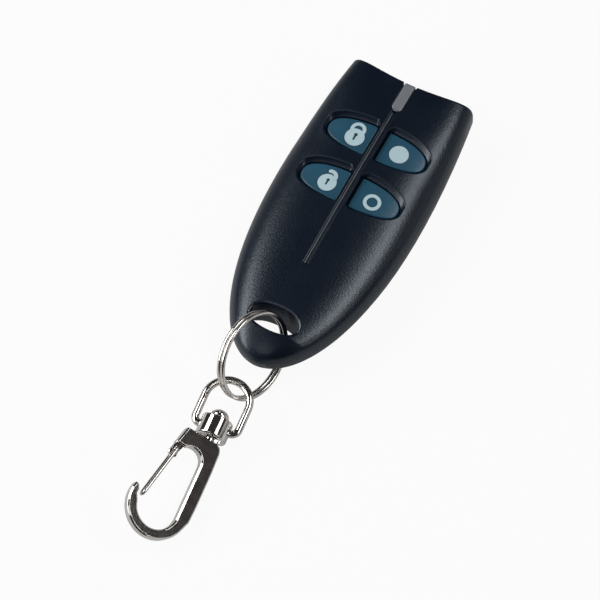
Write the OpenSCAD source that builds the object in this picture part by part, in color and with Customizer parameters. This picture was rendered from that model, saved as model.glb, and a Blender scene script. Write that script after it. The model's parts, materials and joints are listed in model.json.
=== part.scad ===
// Four-key remote control fob with a split ring and a swivel snap hook.
// Millimetres. +Z up, +Y towards the wide end with the indicator, origin on the flat rear face.

/* [Body] */
// Length from the narrow tip to the corners of the wide end
fob_length = 71.8; // [69:0.2:75]
// From the narrow tip to the middle of the rear face
tip_reach = 39; // [38:0.5:41]
// Width across the corners of the wide end
end_width = 28; // [27:0.2:30]
// Outward pull of the flank curve below those corners
flank_pull = 7.4; // [6.8:0.1:8.4]
// Lengthwise pull of the flank curve
flank_run = 51.5; // [49:0.5:54]
// Sideways pull of the tip curve, larger is blunter
tip_pull = 9.6; // [9:0.1:10.6]
// Sag of the concave wide end at its middle
end_sag = 1.7; // [1.2:0.1:2.2]
// Radius of the wide end's corners seen from above
corner_r = 0.7; // [0.5:0.1:1.2]
// Rounding of the wide end's upper and lower edges
end_edge_r = 0.4; // [0.3:0.05:0.6]
// Height of the parting plane over the rear face
parting_z = 5.2; // [5.1:0.05:5.7]
// Crown over the parting plane at the tip
crown_tip = 5.3; // [5:0.1:5.8]
// Crown pull at mid length
crown_mid = 8.2; // [8:0.1:8.8]
// Crown over the parting plane at the wide end
crown_end = 6.6; // [6.4:0.1:7.2]
// Fullness of the crown's cross-section, where 2 is an ellipse
crown_fullness = 2.9; // [2.7:0.1:3.3]
// Fullness of the crown at the wide end, where it is squarer
end_fullness = 4.6; // [4:0.1:5]
// Depth of the belly's ellipse, cut flat at the rear face
belly_depth = 6.1; // [5.8:0.1:6.6]
// Depth of the nose below the parting plane
nose_depth = 0.7; // [0.5:0.1:1]
// Wall of the two mouldings
wall = 1.5; // [1.3:0.05:1.7]
// Floor of the rear cover
floor_t = 1.4; // [1.2:0.05:1.5]

/* [Keys] */
// From the centre line to the outer tip of a key, as a share of half the wide end
key_share = 0.8; // [0.76:0.01:0.83]
// Half the height of a key at the rib
key_half = 3.75; // [3.5:0.05:4]
// Half the rib between the left and right keys
rib_half = 1.3; // [1.2:0.05:1.6]
// From the tip to the middle of the lower pair of keys, as a share of the length
row_share = 0.5864; // [0.578:0.0002:0.596]
// Pitch from the lower pair to the upper pair
row_pitch = 12.2; // [11.8:0.1:12.8]
// Depth of the keys below the crown
key_drop = 1; // [0.8:0.05:1.2]
// Gap round a key
key_gap = 0.2; // [0.15:0.05:0.3]
// Width of the sloping lip round a key
lip_w = 1; // [0.8:0.05:1.2]
// Travel of a key
key_travel = 0.5; // [0.3:0.05:0.6]
// Flange that holds a key under the face
flange_w = 0.6; // [0.5:0.05:0.7]
// Thickness of that flange
flange_t = 0.7; // [0.6:0.05:0.8]

/* [Face] */
// Width of the groove along the crown
groove_w = 1; // [0.8:0.05:1.2]
// Depth of the groove
groove_depth = 0.35; // [0.25:0.05:0.5]
// From the tip to the narrow end of the groove
groove_back = 22.3; // [21:0.1:24]
// Land between the groove and the lens
groove_land = 0.55; // [0.5:0.05:1.5]
// Width of the indicator lens
lens_w = 2.44; // [2.2:0.02:2.6]
// Length of the lens from the wide end
lens_len = 8.45; // [8:0.05:8.8]
// Gap round the lens
lens_gap = 0.08; // [0.05:0.01:0.12]

/* [Ring slot] */
// Length of the slot across the nose
slot_len = 10.4; // [9.8:0.1:11]
// Width of the slot
slot_w = 5.2; // [5:0.1:5.6]
// From the tip to the middle of the slot
slot_back = 8.8; // [8.6:0.1:9.4]
// Chamfer round the slot's upper mouth
slot_chamfer = 0.5; // [0.3:0.05:0.7]

/* [Electronics] */
// Thickness of the circuit board
board_t = 1; // [0.8:0.05:1]
// From the wide end to the board
board_back = 4.4; // [4.2:0.1:4.8]
// From the tip to the board, as a share of the length
board_share = 0.3621; // [0.35:0.0002:0.375]
// Diameter of the coin cell
cell_d = 20; // [19.5:0.1:20]
// Thickness of the coin cell
cell_t = 3.2; // [2.5:0.1:3.2]
// From the tip to the middle of the coin cell, as a share of the length
cell_share = 0.6685; // [0.655:0.0005:0.68]
// Side of a square tact switch
switch_side = 4.5; // [4:0.1:5]
// Height of a tact switch's housing
switch_h = 1.6; // [1.4:0.05:1.7]
// Diameter of a switch plunger
plunger_d = 2.4; // [2:0.1:2.8]
// From the centre line to a switch, as a share of the key's reach
switch_share = 0.482; // [0.45:0.002:0.52]

/* [Case screw] */
// From the tip to the case screw, as a share of the length
screw_share = 0.2786; // [0.272:0.0002:0.29]
// Diameter of the screw's shank
screw_d = 1.9; // [1.7:0.1:2.2]
// Diameter of the screw's head
screw_head_d = 3.6; // [3.4:0.1:4]
// Height of the screw's head
screw_head_h = 1.1; // [1:0.05:1.2]
// Length of the screw under its head
screw_len = 5.5; // [5:0.1:6]

/* [Split ring] */
// Radius of the ring's wire line
ring_r = 9.2; // [9:0.1:9.4]
// Diameter of the ring's wire
ring_wire = 0.8; // [0.75:0.01:0.85]
// Free gap between the two turns
ring_gap = 0.45; // [0.42:0.01:0.5]
// Lean of the ring from upright
ring_lean = 67.2; // [65:0.2:69]
// Turn of the ring round the vertical
ring_turn = -9.9; // [-12:0.1:-8]

/* [Swivel and hook] */
// Slope of the swivel down to the table
swivel_slope = 4.5; // [4:0.1:5]
// Turn of the swivel round the vertical
swivel_turn = 4.9; // [4:0.1:6]
// Roll of the hook round the swivel
hook_roll = 30.8; // [29:0.2:32]
// Radius of the eye's wire
eye_wire_r = 0.72; // [0.66:0.02:0.8]
// Half width of the eye at its wire line
eye_half = 4.7; // [4.5:0.05:5]
// From the barrel to the far end of the eye's wire line
eye_reach = 10.45; // [10.2:0.05:10.8]
// Radius of the swivel barrel
barrel_r = 2.6; // [2.4:0.05:2.8]
// Length of the swivel barrel
barrel_len = 3; // [2.8:0.1:3.2]
// Radius of the hook's post
post_r = 1; // [0.9:0.02:1.1]
// Running clearance of the post in the barrel
post_fit = 0.08; // [0.05:0.01:0.1]
// Radius of the peened head on the post
post_head_r = 1.9; // [1.7:0.05:2.1]
// Thickness of the hook
hook_t = 2.2; // [2:0.05:2.3]
// From the barrel to the shoulder of the hook
shoulder_q = 3.3; // [3.1:0.05:3.5]
// Outer radius of the hook's bowl
bowl_r = 6.75; // [6.5:0.05:7]
// Inner radius of the hook's bowl
bowl_in_r = 4.54; // [4.4:0.02:4.7]
// From the barrel to the middle of the bowl
bowl_q = 20.8; // [20.4:0.1:21.2]
// Radius of the gate's wire
gate_wire_r = 0.36; // [0.33:0.01:0.39]

/* [Hidden] */

$fn = 48;
eps = 0.01;
tip_y = -tip_reach;
end_y = fob_length - tip_reach;
function at(share) = tip_y + share * fob_length;
nose_w = 9;                        // half width below which the nose rounds over
belly_start = at(0.1671);          // where the underside starts to fall from the nose
belly_full = at(0.4596);           // where the underside reaches the rear face
square_from = at(0.6825);          // where the crown starts to turn squarer
cavity_foot = at(0.2089);          // the nose is solid beyond this
cavity_top = end_y - end_sag - wall;
row_y = at(row_share);
row_ys = [row_y, row_y + row_pitch];
key_reach = key_share * end_width / 2;
lens_foot = end_y - lens_len;
groove_foot = tip_y + groove_back;
groove_head = lens_foot - groove_land;
board_foot = at(board_share);
board_top = end_y - board_back;
cell_y = at(cell_share);
screw_y = at(screw_share);
board_z = parting_z - 0.2;         // underside of the board
board_face = board_z + board_t;
fit_gap = 0.05;
sky = 4 * parting_z;                // a level above everything moulded
slot_y = tip_y + slot_back;

body_color = [0.09, 0.12, 0.17];
key_color = [0.16, 0.3, 0.38];
metal_color = [0.78, 0.77, 0.75];
board_color = [0.1, 0.35, 0.2];
dark_color = [0.12, 0.12, 0.13];
cell_color = [0.72, 0.72, 0.7];
lens_color = [0.55, 0.57, 0.6];

// Form of the fob: a plan curve for each flank, a crown above the parting plane, a belly below

function bezier(a, b, c, d, t) =
  a * pow(1 - t, 3) + 3 * b * t * pow(1 - t, 2) + 3 * c * t * t * (1 - t) + d * pow(t, 3);
function flank_x(t) = bezier(end_width / 2, end_width / 2 + flank_pull, tip_pull, 0, t);
function flank_y(t) = bezier(end_y, end_y - flank_run, tip_y, tip_y, t);
function t_at(y, lo = 0, hi = 1, n = 26) =
  n == 0 ? (lo + hi) / 2
  : let (m = (lo + hi) / 2) flank_y(m) > y ? t_at(y, m, hi, n - 1) : t_at(y, lo, m, n - 1);
function half_w(y) = flank_x(t_at(y));
function along(y) = (y - tip_y) / fob_length;
function nose(w) = pow(min(1, w / nose_w), 0.6);
function crown_h(y) =
  let (u = along(y)) crown_tip * pow(1 - u, 2) + 2 * crown_mid * u * (1 - u) + crown_end * u * u;
function smooth(v) = let (c = max(0, min(1, v))) c * c * (3 - 2 * c);
function belly_h(y) =
  nose_depth + (belly_depth - nose_depth) * smooth((y - belly_start) / (belly_full - belly_start));
function sag(x, y) =
  end_sag * max(0, min(1, (along(y) - 0.8) / 0.2)) * (1 - pow(2 * x / end_width, 2));
function fullness(s, n) = pow(max(0, 1 - pow(min(1, abs(s)), n)), 1 / n);
function crown_n(y) = crown_fullness
  + (end_fullness - crown_fullness) * smooth((y - square_from) / (end_y - square_from));
function face_z(x, y) = parting_z + crown_h(y) * fullness(x / half_w(y), crown_n(y));

// Closed ring of a cross-section: over the crown from +X to -X, then back under the belly
section_m = 20;
function across(j) =
  let (c = cos(180 * j / section_m)) sign(c) * pow(abs(c), 2 / crown_fullness);
function ring_at(y, w, up, down, low) = concat(
  [for (j = [0:section_m]) let (s = across(j))
    [w * s, y - sag(w * s, y), parting_z + up * fullness(s, crown_n(y))]],
  [for (j = [section_m - 1:-1:1]) let (s = across(j))
    [w * s, y - sag(w * s, y), max(low, parting_z - down * fullness(s, 2))]]);

// Loft through rings of equal count; the first is capped in strips, the last ends in a point or a cap
function cap_strips(m, base, flip) = [for (j = [0:m - 1])
  let (a = base + j, b = base + j + 1, c = base + 2 * m - j - 1, d = base + (2 * m - j) % (2 * m))
  each [
    let (e = j == m - 1 ? d : c) flip ? [a, e, b] : [a, b, e],
    if (j > 0 && j < m - 1) flip ? [a, d, c] : [a, c, d]
  ]];
module loft(rings, point) {
  m = section_m;
  k = 2 * m;
  n = len(rings);
  points = concat([for (r = rings) each r], point == undef ? [] : [point]);
  walls = [for (i = [0:n - 2], j = [0:k - 1])
    let (a = i * k + j, b = i * k + (j + 1) % k, c = b + k, d = a + k) each [[a, d, c], [a, c, b]]];
  far = (n - 1) * k;
  last = point == undef ? cap_strips(m, far, true)
    : [for (j = [0:k - 1]) [far + j, n * k, far + (j + 1) % k]];
  polyhedron(points, concat(cap_strips(m, 0, false), walls, last), convexity = 6);
}

// Outer form of the whole fob
stations = 26;
module fob_form() {
  start = t_at(end_y - corner_r);
  corner = [for (a = [90:-30:30]) let (y = end_y - corner_r * (1 - sin(a)))
    ring_at(y, half_w(y) - corner_r * (1 - cos(a)), crown_h(y) - end_edge_r * (1 - cos(a)),
            belly_h(y) - end_edge_r * (1 - cos(a)), -1)];
  flank = [for (i = [0:stations - 1])
    let (t = start + (1 - start) * i / stations, y = flank_y(t), w = flank_x(t))
    ring_at(y, w, crown_h(y) * nose(w), belly_h(y) * nose(w), -1)];
  intersection() {
    loft(concat(corner, flank), [0, tip_y, parting_z]);
    translate([-end_width, tip_y - 1, 0]) cube([2 * end_width, fob_length + 2, sky]);
  }
}

// Hollow for the electronics, one wall inside the form
hollow_steps = 14;
module hollow() {
  loft([for (i = [0:hollow_steps])
    let (y = cavity_top + (cavity_foot - cavity_top) * i / hollow_steps, w = half_w(y) - wall)
    [for (p = ring_at(y, w, crown_h(y) - wall, belly_h(y) - wall, floor_t)) [p[0], y, p[2]]]]);
}

// Everything under the parting plane that belongs to the rear cover
seam_y = cavity_foot - wall;
module under_parting(gap) {
  translate([-end_width, seam_y + gap, -1]) cube([2 * end_width, fob_length, parting_z + 1 - gap]);
}

// Block whose upper face follows the crown at a depth, over a rectangle of the plan
module crown_block(x0, x1, y0, y1, drop, low, nx, ny) {
  grid = [for (i = [0:nx], j = [0:ny])
    let (x = x0 + (x1 - x0) * i / nx, y = y0 + (y1 - y0) * j / ny) [x, y, face_z(x, y) - drop]];
  block(grid, nx, ny, low);
}
// Closed block between a grid of points and the level low, which may lie above or below them
module block(grid, nx, ny, low) {
  n = (nx + 1) * (ny + 1);
  base = [for (p = grid) [p[0], p[1], low]];
  top = [for (i = [0:nx - 1], j = [0:ny - 1])
    let (a = i * (ny + 1) + j, b = a + ny + 1) each [[a, a + 1, b + 1], [a, b + 1, b]]];
  bottom = [for (f = top) [n + f[2], n + f[1], n + f[0]]];
  rim = concat([for (i = [0:nx]) i * (ny + 1)], [for (j = [1:ny]) nx * (ny + 1) + j],
               [for (i = [nx - 1:-1:0]) i * (ny + 1) + ny], [for (j = [ny - 1:-1:1]) j]);
  skirt = [for (i = [0:len(rim) - 1]) let (a = rim[i], b = rim[(i + 1) % len(rim)])
    each [[a, b, n + b], [a, n + b, n + a]]];
  faces = concat(top, bottom, skirt);
  upright = grid[0][2] > low;
  polyhedron(concat(grid, base), upright ? faces : [for (f = faces) [f[2], f[1], f[0]]], convexity = 6);
}

// Key outline: half of a rounded leaf, cut straight along the rib
key_steps = 14;
leaf_fullness = 2.5;
rib_slope = 0.15;                  // lean of the rib's sides against that of the lips
function key_line(grow, rib) = let (a = key_reach + grow, b = key_half + grow,
    start = acos(pow(rib / a, leaf_fullness / 2))) [for (i = [0:key_steps])
    let (v = start - 2 * start * i / key_steps)
    [a * pow(cos(v), 2 / leaf_fullness), sign(sin(v)) * b * pow(abs(sin(v)), 2 / leaf_fullness)]];
module key_prism(side, y, grow, z0, z1) {
  translate([0, y, z0]) mirror([side < 0 ? 1 : 0, 0, 0]) linear_extrude(z1 - z0)
    polygon(key_line(grow, rib_half - grow));
}
// Sloping lip round a key, following the crown from just above it to the depth of the key
module key_lip(side, y) {
  above = 0.3;
  below = 0.12;
  slope = lip_w / key_drop;
  spread = lip_w + above * slope;
  upper = key_line(key_gap + spread, rib_half - key_gap - rib_slope * spread);
  lower = key_line(key_gap - below * slope, rib_half - key_gap + rib_slope * below * slope);
  n = key_steps + 1;
  rings = concat([for (p = upper) [side * p[0], y + p[1], face_z(p[0], y + p[1]) + above]],
                 [for (p = lower) [side * p[0], y + p[1], face_z(p[0], y + p[1]) - key_drop - below]]);
  middle = side * key_reach / 2;
  middle_z = face_z(middle, y);
  points = concat(rings, [[middle, y, middle_z + above], [middle, y, middle_z - key_drop - below]]);
  walls = [for (i = [0:n - 1]) let (j = (i + 1) % n) each [[i, j, n + j], [i, n + j, n + i]]];
  caps = [for (i = [0:n - 1]) let (j = (i + 1) % n) each [[2 * n, j, i], [2 * n + 1, n + i, n + j]]];
  faces = concat(walls, caps);
  polyhedron(points, side < 0 ? faces : [for (f = faces) [f[2], f[1], f[0]]], convexity = 6);
}

function roof_z(x, y) =
  parting_z + (crown_h(y) - wall) * fullness(x / (half_w(y) - wall), crown_n(y));
flange_top = min([for (y = row_ys, p = key_line(flange_w, rib_half)) roof_z(p[0], y + p[1])]) - 0.25;
key_foot = flange_top - flange_t;
flange_rib = rib_half - 0.3;       // the flanges of a pair stay clear of each other
keys = [[-1, row_ys[1]], [-1, row_ys[0]], [1, row_ys[1]], [1, row_ys[0]]];

// Slot for the split ring: two round ends and a straight middle
slot_rim = face_z(0, slot_y);
module slot_prism(grow, z0, z1) {
  r = slot_w / 2 + grow;
  half = (slot_len - slot_w) / 2;
  translate([0, slot_y, z0]) {
    for (side = [-1, 1]) translate([side * half, 0, 0]) cylinder(r = r, h = z1 - z0);
    translate([-half, -r, 0]) cube([2 * half, 2 * r, z1 - z0]);
  }
}

// Indicator lens: a round-ended bar that runs out through the wide end
lens_low = face_z(0, lens_foot) - 3;
module lens_prism(grow, z0) {
  r = lens_w / 2 + grow;
  translate([0, lens_foot + lens_w / 2, z0]) {
    cylinder(r = r, h = sky);
    translate([-r, 0, 0]) cube([2 * r, end_y, sky]);
  }
}

boss_r = screw_head_d / 2 + 0.8;
head_seat_z = parting_z - 1.2;
module screw_boss() {
  translate([0, screw_y, -1]) cylinder(r = boss_r, h = sky);
}
module front_shell() {
  color(body_color) difference() {
    fob_form();
    difference() {
      hollow();
      screw_boss();
    }
    under_parting(0);
    for (k = keys) {
      key_prism(k[0], k[1], key_gap, parting_z, sky);
      key_lip(k[0], k[1]);
    }
    crown_block(-groove_w / 2, groove_w / 2, groove_foot, groove_head, groove_depth, sky, 1, 20);
    lens_prism(lens_gap, lens_low);
    slot_prism(0, -1, sky);
    hull() {
      slot_prism(0, slot_rim - 2 * slot_chamfer, slot_rim - 2 * slot_chamfer + eps);
      slot_prism(3 * slot_chamfer, slot_rim + slot_chamfer, slot_rim + slot_chamfer + eps);
    }
    translate([0, screw_y, parting_z - 1]) cylinder(d = screw_d + 2 * fit_gap, h = screw_len + 1);
  }
}

// Locating lip that stands up from the rear cover inside the front shell
lip_t = 0.8;
lip_h = 1;
lip_foot = at(0.3203);
function inset_line(inset, y0, y1, n) = let (ys = [for (i = [0:n]) y0 + (y1 - y0) * i / n])
  concat([for (y = ys) [half_w(y) - inset, y]], [for (i = [n:-1:0]) [-(half_w(ys[i]) - inset), ys[i]]]);
module inset_prism(inset, y0, y1, z0, z1) {
  translate([0, 0, z0]) linear_extrude(z1 - z0) polygon(inset_line(inset, y0, y1, 16));
}
support_r = 1;
support_in = 5;                    // from the flank to a support
board_supports = [for (side = [-1, 1], y = [board_foot + 5, board_top - 3.9])
  [side * (half_w(y) - support_in), y]];
cell_floor = floor_t + fit_gap;
module rear_cover() {
  color(body_color) difference() {
    union() {
      difference() {
        intersection() {
          fob_form();
          under_parting(0.1);
        }
        difference() {
          hollow();
          screw_boss();
        }
      }
      difference() {
        inset_prism(wall - 0.4, lip_foot, cavity_top - 0.1, parting_z - 1.2, parting_z - 0.1);
        inset_prism(wall + 0.1 + lip_t, lip_foot - 1, cavity_top - 1, 0, parting_z);
      }
      difference() {
        inset_prism(wall + 0.15, lip_foot, cavity_top - 0.15, parting_z - 0.2, parting_z + lip_h);
        inset_prism(wall + 0.1 + lip_t, lip_foot - 1, cavity_top - 1, 0, 2 * parting_z);
      }
      for (p = board_supports) translate([p[0], p[1], floor_t - 0.4])
        cylinder(r = support_r, h = board_z - floor_t + 0.4);
    }
    translate([0, cell_y, floor_t]) cylinder(d = cell_d + 0.4, h = parting_z);
    translate([0, screw_y, -1]) cylinder(d = screw_d + 0.4, h = 2 * parting_z);
    translate([0, screw_y, -1]) cylinder(d = screw_head_d + 0.4, h = head_seat_z + 1);
  }
}

led_y = lens_foot + lens_len / 3;
guide_w = lens_w + 1.8;
module light_guide() {
  color(lens_color) {
    intersection() {
      lens_prism(0, lens_low + 0.3);
      fob_form();
    }
    translate([-guide_w / 2, lens_foot - 0.6, lens_low + 0.3])
      cube([guide_w, cavity_top - lens_foot + 0.4, 0.9]);
    translate([0, led_y, board_face + 1.1]) cylinder(r = 0.9, h = lens_low - board_face - 0.6);
  }
}

module key(k) {
  near = k[0] < 0 ? -key_reach - 1 : 0;
  span = 2 * key_reach;
  low = k[1] - key_half - 1;
  color(key_color) {
    intersection() {
      key_prism(k[0], k[1], 0, key_foot, sky);
      crown_block(near, near + key_reach + 1, low, low + 2 * key_half + 2, key_drop, key_foot, 12, 4);
    }
    intersection() {
      key_prism(k[0], k[1], flange_w, key_foot, flange_top);
      translate([k[0] < 0 ? -span - flange_rib : flange_rib, k[1] - span / 2, 0]) cube(span);
    }
  }
}

function switch_at(k) = [k[0] * switch_share * key_reach, k[1]];
module plunger(k) {
  p = switch_at(k);
  pocket = board_face + 0.4;
  color(dark_color) translate([p[0], p[1], pocket + key_travel + 0.1])
    cylinder(d = plunger_d, h = key_foot - pocket - key_travel - 0.1);
}
module switch(k) {
  p = switch_at(k);
  color(cell_color) difference() {
    translate([p[0] - switch_side / 2, p[1] - switch_side / 2, board_face])
      cube([switch_side, switch_side, switch_h]);
    translate([p[0], p[1], board_face + 0.4]) cylinder(d = plunger_d + 2 * fit_gap, h = switch_h);
  }
}

board_inset = wall + lip_t + 0.4;
module circuit_board() {
  color(board_color) inset_prism(board_inset, board_foot, board_top, board_z, board_face);
}
module chip(x, y, w, l, h) {
  color(dark_color) translate([x - w / 2, y - l / 2, board_face]) cube([w, l, h]);
}
module controller_chip() { chip(-4, board_foot + 6, 4, 5, 1.5); }
module transmitter_chip() { chip(4.5, board_foot + 6.5, 3, 3, 0.9); }
module crystal_can() {
  color(metal_color) translate([4.5, board_foot + 2.5, board_face]) {
    for (side = [-1, 1]) translate([side * 0.9, 0, 0]) cylinder(r = 0.9, h = 1.3);
    translate([-0.9, -0.9, 0]) cube([1.8, 1.8, 1.3]);
  }
}
module chip_passives() {
  color("tan") for (i = [0:5])
    translate([2 * i - 5.5, board_foot + 1, board_face]) cube([1, 0.5, 0.5]);
}
module indicator_led() {
  color("white") translate([-1, led_y - 0.65, board_face]) cube([2, 1.3, 0.8]);
}
module coin_cell() {
  can_h = cell_t - 0.3;
  color(cell_color) translate([0, cell_y, cell_floor]) {
    cylinder(d = cell_d, h = can_h);
    cylinder(d = cell_d - 2.6, h = cell_t);
  }
}
contact_t = 0.2;
module cell_contact() {
  color(metal_color) translate([-3, cell_y - 3, board_z - contact_t - 0.02]) cube([6, 6, contact_t]);
}
module cell_clip() {
  low = cell_floor + 0.6;
  color(metal_color) for (side = [-1, 1]) translate([-2, cell_y + side * (cell_d / 2 + 0.25) - 0.15, low]) {
    cube([4, 0.3, board_z - low]);
    translate([0, side > 0 ? 0 : -1.2, board_z - low - 0.3]) cube([4, 1.5, 0.3]);
  }
}
module case_screw() {
  color(metal_color) translate([0, screw_y, head_seat_z - screw_head_h]) {
    difference() {
      cylinder(d = screw_head_d, h = screw_head_h);
      for (a = [0, 90]) rotate([0, 0, a]) translate([-1.1, -0.2, -1]) cube([2.2, 0.4, 1.5]);
    }
    cylinder(d = screw_d, h = screw_head_h + screw_len);
  }
}

// Split ring: one wire wound nearly twice round, stepping across where its ends lie
ring_pitch = ring_wire + ring_gap;
ring_sides = 6;
ring_loop = 24;
ring_step = 26;                    // half the arc over which the wire steps across
ring_from = ring_step + 10;
ring_to = 720 - ring_step - 10;
ring_rings = ceil((ring_to - ring_from) * ring_loop / 360);
ring_centre = [-0.35, slot_y - 8.72, 9.17];
function wind(a) = ring_pitch * (smooth((a - 360 + ring_step) / (2 * ring_step)) - 0.5);
ring_line = [for (i = [0:ring_rings]) let (a = ring_from + (ring_to - ring_from) * i / ring_rings)
  [ring_r * cos(a), ring_r * sin(a), wind(a), a]];
ring_fine = [for (a = [ring_from:2:ring_to]) [ring_r * cos(a), ring_r * sin(a), wind(a)]];
ring_least = min([for (i = [0:len(ring_fine) - 1], j = [i + 45:1:len(ring_fine) - 1])
  norm(ring_fine[j] - ring_fine[i])]) - ring_wire;
echo(split_ring_least_gap = ring_least);
module split_ring_wire() {
  k = ring_sides;
  points = [for (p = ring_line, s = [0:k - 1]) let (r = ring_wire / 2, b = 360 * (s + 0.5) / k)
    [(ring_r + r * cos(b)) * cos(p[3]), (ring_r + r * cos(b)) * sin(p[3]), p[2] + r * sin(b)]];
  walls = [for (i = [0:ring_rings - 1], s = [0:k - 1])
    let (a = i * k + s, b = i * k + (s + 1) % k) each [[a, b, b + k], [a, b + k, a + k]]];
  ends = [for (s = [1:k - 2]) each [[s + 1, s, 0], [for (c = [0, s, s + 1]) ring_rings * k + c]]];
  polyhedron(points, concat(walls, ends), convexity = 8);
}
// Where the step lies on the ring, and where the eye hangs on it
ring_split_at = 62;
eye_hang_at = -71;
function ring_point(a) =
  let (x = ring_r * cos(a), y = ring_r * sin(a), c = cos(ring_lean), s = sin(ring_lean))
  ring_centre + [x * c * cos(ring_turn) - y * sin(ring_turn),
                 x * c * sin(ring_turn) + y * cos(ring_turn), -x * s];
module split_ring() {
  color(metal_color) translate(ring_centre) rotate([0, ring_lean, ring_turn])
    rotate([0, 0, ring_split_at]) split_ring_wire();
}

// Swivel: the eye hangs on the ring, and the hook's post turns in its barrel
hang = ring_point(eye_hang_at);
barrel_at = hang - [0.09, 6.66, 2.1];
module on_swivel() { translate(barrel_at) rotate([swivel_slope, 0, swivel_turn]) children(); }
module along_swivel(from, to, r) {
  translate([0, from, 0]) rotate([-90, 0, 0]) cylinder(r = r, h = to - from);
}
eye_foot = -0.5;                   // wire line of the eye's foot, beside the barrel's middle
eye_bend = 1.4;
module swivel_eye() {
  arm = eye_half - eye_bend;
  rise = eye_foot + eye_bend;
  color(metal_color) on_swivel() difference() {
    union() {
      translate([0, eye_reach - eye_half, 0]) rotate_extrude(angle = 180)
        translate([eye_half, 0]) circle(eye_wire_r);
      for (side = [-1, 1]) translate([side * eye_half, rise, 0]) rotate([-90, 0, 0])
        cylinder(r = eye_wire_r, h = eye_reach - eye_half - rise);
      for (side = [0, 180]) rotate([0, side, 0]) translate([arm, rise, 0])
        rotate([0, 0, -90]) rotate_extrude(angle = 90) translate([eye_bend, 0]) circle(eye_wire_r);
      translate([-arm, eye_foot, 0]) rotate([0, 90, 0]) cylinder(r = eye_wire_r, h = 2 * arm);
      along_swivel(-barrel_len / 2, barrel_len / 2, barrel_r);
    }
    along_swivel(-barrel_len, barrel_len, post_r + post_fit);
  }
}

// Snap hook, drawn with p across and q down from the barrel
bowl_at = [-4.21, bowl_q];
bowl_in_at = bowl_at + [-0.07, 0.16];
spine_in = bowl_in_at[0] + bowl_in_r;
spine_out = bowl_at[0] + 1.09 * bowl_r;
arch_r = 2.65;
arch_at = [spine_in - arch_r, 9.27];
pivot = [-5.6, 8.15];
pivot_r = gate_wire_r + fit_gap;
ear_half = 0.3;                    // half thickness of the ear where the gate straddles it
ear_r = 2.8;                       // reach of the thinned ear below the pivot
ear_rise = 0.9;
plate_left = -5.42;
plate_right = 3;
module hook_outline() {
  claw = [for (v = [[-0.9, -0.33], [-0.84, -0.29], [-0.77, -0.175], [-0.77, -0.1], [-0.795, -0.05],
                    [-0.676, 0.16], [0, 0.17], [-2, 0.17], [-2, -0.33]]) bowl_at + v * bowl_r];
  difference() {
    union() {
      polygon([[plate_left, shoulder_q], [plate_right - 1.5, shoulder_q],
               [plate_right - 0.4, shoulder_q + 0.6], [plate_right, shoulder_q + 1.6],
               [spine_out, arch_at[1]], [spine_in, arch_at[1]], arch_at,
               pivot + [-0.2, 2.05], pivot + [-1.3, 1.75], pivot + [-1.36, 1.1]]);
      polygon([[spine_in, arch_at[1]], [spine_out, arch_at[1]], [spine_out, bowl_q - bowl_r / 2],
               [spine_out - 0.14, bowl_q], bowl_at + bowl_r * [cos(20), sin(20)], [spine_in, bowl_q]]);
      intersection() {
        difference() {
          translate(bowl_at) circle(bowl_r);
          translate(bowl_in_at) circle(bowl_in_r);
        }
        union() {
          translate([bowl_at[0] - 2 * bowl_r, bowl_q + 0.16 * bowl_r]) square([4 * bowl_r, 2 * bowl_r]);
          translate([bowl_at[0], bowl_q - eps]) square(2 * bowl_r);
          polygon(claw);
        }
      }
    }
    translate(arch_at) circle(arch_r);
  }
}
head_gap = 0.15;
head_q = barrel_len / 2 + head_gap;
head_h = 2.4;
module snap_hook() {
  color(metal_color) on_swivel() rotate([0, hook_roll, 0]) {
    difference() {
      translate([0, 0, -hook_t / 2]) linear_extrude(hook_t) mirror([0, 1]) hook_outline();
      translate([pivot[0], -pivot[1], -hook_t]) cylinder(r = pivot_r, h = 2 * hook_t);
      for (z = [ear_half, -ear_half - hook_t]) translate([pivot[0], -pivot[1], z]) intersection() {
        cylinder(r = ear_r, h = hook_t);
        translate([-ear_r, ear_rise - 2 * ear_r, 0]) cube([2 * ear_r, 2 * ear_r, hook_t]);
      }
    }
    along_swivel(-shoulder_q - 0.6, head_q + eps, post_r);
    translate([0, head_q, 0]) rotate([-90, 0, 0]) intersection() {
      cylinder(r = post_head_r, h = head_h);
      translate([0, 0, head_h - 2.2]) sphere(r = 2.2);
    }
  }
}

// Gate: a springy wire loop that pivots in the hook's ear and closes against the bowl's tip
gate_end = bowl_at + [-0.6, -0.11] * bowl_r;
gate_run = [gate_end[0] - pivot[0], pivot[1] - gate_end[1]];
gate_len = norm(gate_run);
gate_bend = 0.55;
gate_out = ear_half + 0.1 + gate_wire_r;
module gate_wire() {
  leg = gate_len - gate_bend - gate_out;
  color(metal_color) on_swivel() rotate([0, hook_roll, 0]) translate([pivot[0], -pivot[1], 0])
    rotate([0, 0, atan2(gate_run[1], gate_run[0])]) {
      for (side = [0, 180]) rotate([side, 0, 0]) {
        translate([0, 0, 0.1]) cylinder(r = gate_wire_r, h = gate_out - gate_bend - 0.1);
        translate([gate_bend, 0, gate_out - gate_bend]) rotate([90, 0, 0]) rotate([0, 0, 90])
          rotate_extrude(angle = 90) translate([gate_bend, 0]) circle(gate_wire_r);
        translate([gate_bend, 0, gate_out]) rotate([0, 90, 0]) cylinder(r = gate_wire_r, h = leg);
      }
      translate([gate_bend + leg, 0, 0]) rotate([90, 0, 0]) rotate([0, 0, -90])
        rotate_extrude(angle = 180) translate([gate_out, 0]) circle(gate_wire_r);
    }
}

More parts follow.
